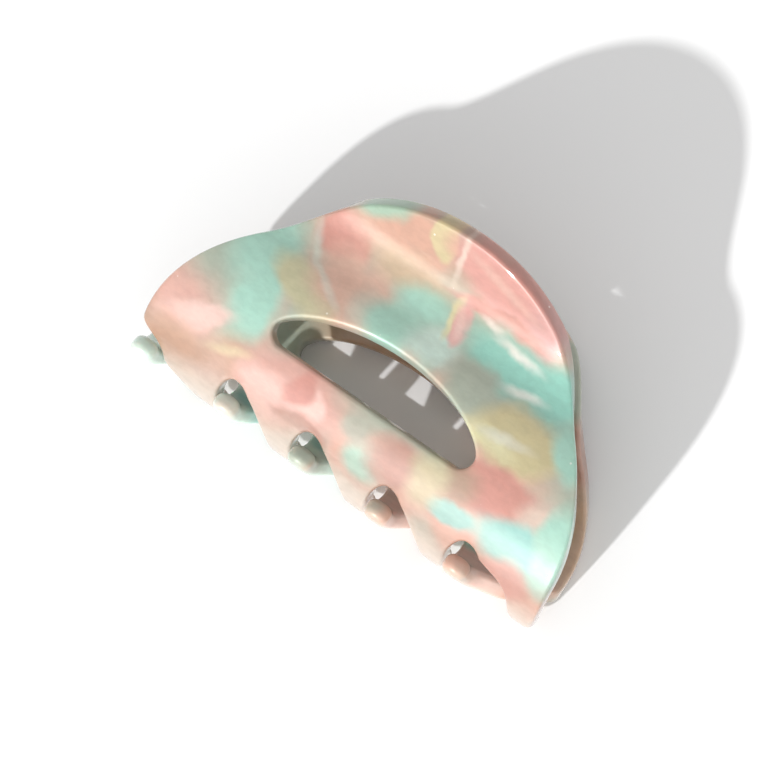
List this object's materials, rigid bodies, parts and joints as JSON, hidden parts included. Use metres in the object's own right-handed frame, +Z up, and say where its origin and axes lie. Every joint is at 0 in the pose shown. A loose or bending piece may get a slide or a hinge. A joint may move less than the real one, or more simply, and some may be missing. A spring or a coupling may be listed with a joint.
{
  "type": "claw hair clip",
  "caption": "Claw hair clip: two bent marbled acetate jaws with D cutouts and interlacing teeth, closed by a sprung pin hinge.",
  "frame": {"origin": "on the surface the clip lies on, below the middle of its bounding box", "axes": "+X along the hinge pin, +Y from the teeth to the finger tabs, +Z up; the clip lies on its back jaw"},
  "size_m": [0.088, 0.0542, 0.0344],
  "materials": {
    "front_acetate": "polished pearlescent marbled acetate in pink, mint and honey",
    "back_acetate": "polished pearlescent marbled acetate in mint, honey and pink",
    "steel": "nickel-plated steel"
  },
  "bodies": {
    "back_half": {"back_jaw": "back_acetate", "back_lug_outer": "back_acetate", "back_lug_inner": "back_acetate", "hinge_pin": "steel", "pin_cap": "steel", "spring_coil": "steel"},
    "front_half": {"front_jaw": "front_acetate", "front_lug_outer": "front_acetate", "front_lug_inner": "front_acetate", "spring_front_leg": "steel"}
  },
  "joints": [
    {"name": "jaw_hinge", "type": "hinge", "parent": "back_half", "child": "front_half", "pos_m": [0, 0.00918, 0.01494], "axis": [-1, 0, 0], "range_deg": [0, 65], "stiffness_Nm_per_rad": 0.1, "springref_deg": -45.84}
  ]
}
